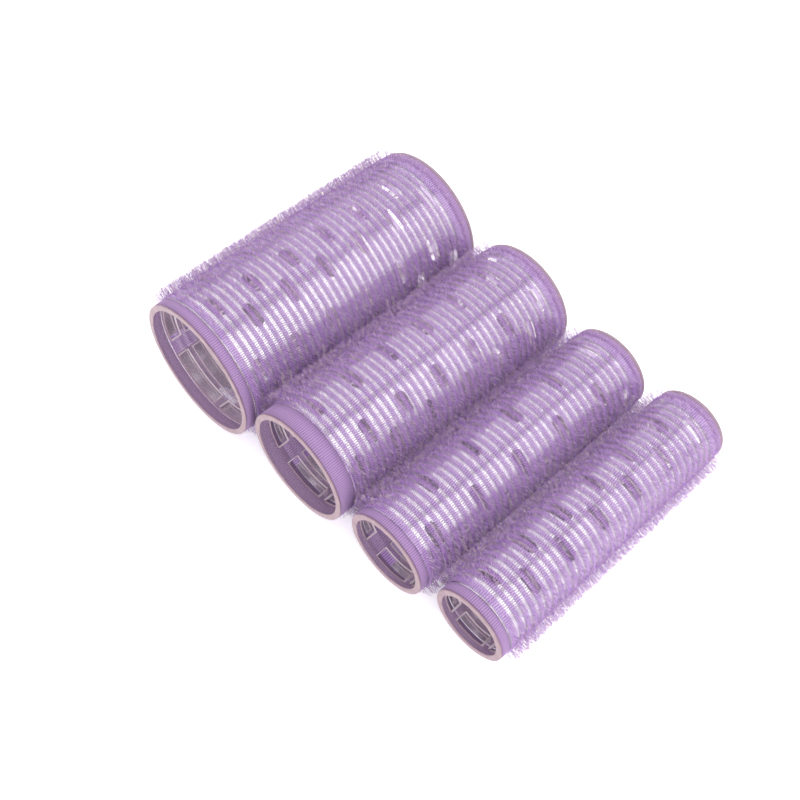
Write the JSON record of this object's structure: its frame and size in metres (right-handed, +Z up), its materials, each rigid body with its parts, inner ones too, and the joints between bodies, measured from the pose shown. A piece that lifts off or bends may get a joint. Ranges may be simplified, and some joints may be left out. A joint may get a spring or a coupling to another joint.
{
  "type": "hair roller",
  "caption": "Row of self-grip hair rollers in graduated diameters: clear slotted cores, perforated foil liners and lavender hook sleeves, hooked together side by side.",
  "frame": {"origin": "on the resting plane, below the middle of the row's bounding box", "axes": "+X across the row from the largest roller to the smallest, +Y along the rollers away from their front ends, +Z up"},
  "size_m": [0.0976, 0.0654, 0.0321],
  "materials": {
    "core_plastic": "clear, faintly pink moulded plastic",
    "foil": "bright rolled foil with punched oval holes",
    "hook_fabric": "lavender woven base with bands of fine nylon hooks",
    "band_fabric": "lavender plain weave without hooks, sealed edge"
  },
  "bodies": {
    "large_roller": {"large_core": "core_plastic", "large_foil": "foil", "large_hook_sleeve": "hook_fabric", "large_front_band": "band_fabric", "large_rear_band": "band_fabric"},
    "medium_roller": {"medium_core": "core_plastic", "medium_foil": "foil", "medium_hook_sleeve": "hook_fabric", "medium_front_band": "band_fabric", "medium_rear_band": "band_fabric"},
    "small_roller": {"small_core": "core_plastic", "small_foil": "foil", "small_hook_sleeve": "hook_fabric", "small_front_band": "band_fabric", "small_rear_band": "band_fabric"},
    "mini_roller": {"mini_core": "core_plastic", "mini_foil": "foil", "mini_hook_sleeve": "hook_fabric", "mini_front_band": "band_fabric", "mini_rear_band": "band_fabric"}
  },
  "joints": [
    {"name": "medium_pull", "type": "slide", "parent": "large_roller", "child": "medium_roller", "axis": [1, 0, 0], "range_m": [0, 0.04]},
    {"name": "small_pull", "type": "slide", "parent": "medium_roller", "child": "small_roller", "axis": [1, 0, 0], "range_m": [0, 0.04]},
    {"name": "mini_pull", "type": "slide", "parent": "small_roller", "child": "mini_roller", "axis": [1, 0, 0], "range_m": [0, 0.04]}
  ]
}
